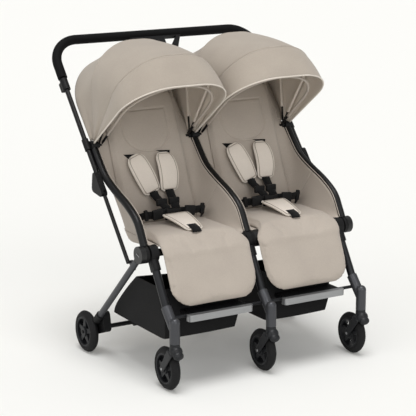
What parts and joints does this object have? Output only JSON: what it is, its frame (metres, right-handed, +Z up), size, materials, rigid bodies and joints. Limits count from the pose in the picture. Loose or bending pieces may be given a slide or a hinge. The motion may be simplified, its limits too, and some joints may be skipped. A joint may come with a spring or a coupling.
{
  "type": "double stroller",
  "caption": "Side by side double stroller with a forward folding tube frame, swivel casters, reclining padded seats, hooded canopies, calf pads, baskets and one wide push bar.",
  "frame": {"origin": "on the floor under the middle of the stroller's box", "axes": "+Z up, the seats face -Y, and the picture's left seat is at -X"},
  "size_m": [0.786, 0.76, 0.9707],
  "materials": {
    "gunmetal_tube": "satin dark grey paint",
    "black_plastic": "moulded satin black",
    "grey_plastic": "moulded dark grey",
    "black_tube": "satin black paint",
    "bow_wire": "black coated spring wire",
    "foam_grip": "fine textured foam",
    "silver_strip": "satin anodised",
    "black_cloth": "woven",
    "taupe_cloth": "fine woven melange",
    "light_pad": "soft padded weave",
    "tyre": "matte foam rubber"
  },
  "bodies": {
    "chassis": {"front_legs": "gunmetal_tube", "hub_housings": "black_plastic", "stem_knuckles": "gunmetal_tube", "seat_cross_tube": "black_tube", "left_seat_pad": "taupe_cloth", "right_seat_pad": "taupe_cloth", "left_footrest": "black_plastic", "right_footrest": "black_plastic", "left_footrest_strip": "silver_strip", "right_footrest_strip": "silver_strip", "footrest_tubes": "gunmetal_tube", "left_basket": "black_cloth", "right_basket": "black_cloth", "left_crotch_pad": "light_pad", "right_crotch_pad": "light_pad"},
    "rear_frame": {"rear_legs": "gunmetal_tube", "rear_brackets": "black_plastic", "rear_axle_tube": "black_tube"},
    "brake": {"brake_pedal": "black_plastic"},
    "upper_frame": {"left_side_tube": "black_tube", "middle_side_tube": "black_tube", "right_side_tube": "black_tube", "handle_tube": "black_tube", "handle_grip": "foam_grip", "middle_pole": "black_tube", "handle_yoke": "black_plastic", "accessory_clamps": "black_plastic", "latch_boxes": "black_plastic", "canopy_hinges": "black_plastic", "left_seat_wings": "taupe_cloth", "right_seat_wings": "taupe_cloth", "left_buckle": "black_plastic", "right_buckle": "black_plastic", "rear_bows": "bow_wire", "left_canopy_cover": "taupe_cloth", "right_canopy_cover": "taupe_cloth"},
    "fold_release": {"fold_button": "black_plastic"},
    "links": {"link_rods": "black_tube"},
    "left_caster": {"left_fork": "black_plastic"},
    "left_front_wheel_body": {"left_front_wheel": "tyre"},
    "left_rear_wheel_body": {"left_rear_wheel": "tyre"},
    "middle_caster": {"middle_fork": "black_plastic"},
    "middle_front_wheel_body": {"middle_front_wheel": "tyre"},
    "middle_rear_wheel_body": {"middle_rear_wheel": "tyre"},
    "right_caster": {"right_fork": "black_plastic"},
    "right_front_wheel_body": {"right_front_wheel": "tyre"},
    "right_rear_wheel_body": {"right_rear_wheel": "tyre"},
    "left_calf": {"left_calf_pad": "taupe_cloth"},
    "left_backrest": {"left_back_pad": "taupe_cloth", "left_shoulder_pads": "light_pad"},
    "left_buckle_release": {"left_buckle_button": "grey_plastic"},
    "left_canopy_mid": {"left_middle_bow": "bow_wire"},
    "left_canopy_front": {"left_front_bow": "bow_wire"},
    "right_calf": {"right_calf_pad": "taupe_cloth"},
    "right_backrest": {"right_back_pad": "taupe_cloth", "right_shoulder_pads": "light_pad"},
    "right_buckle_release": {"right_buckle_button": "grey_plastic"},
    "right_canopy_mid": {"right_middle_bow": "bow_wire"},
    "right_canopy_front": {"right_front_bow": "bow_wire"}
  },
  "joints": [
    {"name": "fold", "type": "hinge", "parent": "chassis", "child": "upper_frame", "pos_m": [0, -0.211, 0.39], "axis": [1, 0, 0], "range_deg": [0, 100]},
    {"name": "rear_fold", "type": "hinge", "parent": "chassis", "child": "rear_frame", "pos_m": [0, -0.211, 0.39], "axis": [1, 0, 0], "range_deg": [-46, 0]},
    {"name": "link_swing", "type": "hinge", "parent": "upper_frame", "child": "links", "pos_m": [0, 0.0085, 0.5332], "axis": [1, 0, 0], "range_deg": [-8, 0]},
    {"name": "brake_press", "type": "hinge", "parent": "rear_frame", "child": "brake", "pos_m": [-0.205, 0.058, 0.096], "axis": [1, 0, 0], "range_deg": [-18, 0]},
    {"name": "fold_release_press", "type": "slide", "parent": "upper_frame", "child": "fold_release", "axis": [0, -0.7615, 0.6481], "range_m": [0, 0.004], "stiffness_N_per_m": 300},
    {"name": "left_swivel", "type": "hinge", "parent": "chassis", "child": "left_caster", "pos_m": [-0.332, -0.347, 0.151], "axis": [0, 0, 1], "continuous": true},
    {"name": "left_front_roll", "type": "hinge", "parent": "left_caster", "child": "left_front_wheel_body", "pos_m": [-0.332, -0.303, 0.065], "axis": [1, 0, 0], "continuous": true},
    {"name": "left_rear_roll", "type": "hinge", "parent": "rear_frame", "child": "left_rear_wheel_body", "pos_m": [-0.376, 0.132, 0.066], "axis": [1, 0, 0], "continuous": true},
    {"name": "middle_swivel", "type": "hinge", "parent": "chassis", "child": "middle_caster", "pos_m": [0, -0.347, 0.151], "axis": [0, 0, 1], "continuous": true},
    {"name": "middle_front_roll", "type": "hinge", "parent": "middle_caster", "child": "middle_front_wheel_body", "pos_m": [0, -0.303, 0.065], "axis": [1, 0, 0], "continuous": true},
    {"name": "middle_rear_roll", "type": "hinge", "parent": "rear_frame", "child": "middle_rear_wheel_body", "pos_m": [0.037, 0.132, 0.066], "axis": [1, 0, 0], "continuous": true},
    {"name": "right_swivel", "type": "hinge", "parent": "chassis", "child": "right_caster", "pos_m": [0.332, -0.347, 0.151], "axis": [0, 0, 1], "continuous": true},
    {"name": "right_front_roll", "type": "hinge", "parent": "right_caster", "child": "right_front_wheel_body", "pos_m": [0.332, -0.303, 0.065], "axis": [1, 0, 0], "continuous": true},
    {"name": "right_rear_roll", "type": "hinge", "parent": "rear_frame", "child": "right_rear_wheel_body", "pos_m": [0.376, 0.132, 0.066], "axis": [1, 0, 0], "continuous": true},
    {"name": "left_calf_lift", "type": "hinge", "parent": "chassis", "child": "left_calf", "pos_m": [-0.166, -0.2429, 0.418], "axis": [1, 0, 0], "range_deg": [-60, 0]},
    {"name": "left_recline", "type": "hinge", "parent": "upper_frame", "child": "left_backrest", "pos_m": [-0.177, -0.002, 0.408], "axis": [1, 0, 0], "range_deg": [-35, 0]},
    {"name": "left_buckle_press", "type": "slide", "parent": "upper_frame", "child": "left_buckle_release", "axis": [0, 1, 0], "range_m": [0, 0.003], "stiffness_N_per_m": 300},
    {"name": "left_canopy_swing", "type": "hinge", "parent": "upper_frame", "child": "left_canopy_mid", "pos_m": [-0.177, 0.11, 0.66], "axis": [1, 0, 0], "range_deg": [-32, 0], "deforming": ["left_canopy_cover"]},
    {"name": "left_visor_swing", "type": "hinge", "parent": "left_canopy_mid", "child": "left_canopy_front", "pos_m": [-0.177, 0.11, 0.66], "axis": [1, 0, 0], "range_deg": [-13, 0]},
    {"name": "right_calf_lift", "type": "hinge", "parent": "chassis", "child": "right_calf", "pos_m": [0.166, -0.2429, 0.418], "axis": [1, 0, 0], "range_deg": [-60, 0]},
    {"name": "right_recline", "type": "hinge", "parent": "upper_frame", "child": "right_backrest", "pos_m": [0.177, -0.002, 0.408], "axis": [1, 0, 0], "range_deg": [-35, 0]},
    {"name": "right_buckle_press", "type": "slide", "parent": "upper_frame", "child": "right_buckle_release", "axis": [0, 1, 0], "range_m": [0, 0.003], "stiffness_N_per_m": 300},
    {"name": "right_canopy_swing", "type": "hinge", "parent": "upper_frame", "child": "right_canopy_mid", "pos_m": [0.177, 0.11, 0.66], "axis": [1, 0, 0], "range_deg": [-32, 0], "deforming": ["right_canopy_cover"]},
    {"name": "right_visor_swing", "type": "hinge", "parent": "right_canopy_mid", "child": "right_canopy_front", "pos_m": [0.177, 0.11, 0.66], "axis": [1, 0, 0], "range_deg": [-13, 0]}
  ],
  "couplings": [
    {"joint": "rear_fold", "follows": "fold", "ratio": -0.46},
    {"joint": "link_swing", "follows": "fold", "ratio": -0.08},
    {"joint": "left_visor_swing", "follows": "left_canopy_swing", "ratio": 0.40625},
    {"joint": "right_visor_swing", "follows": "right_canopy_swing", "ratio": 0.40625}
  ]
}
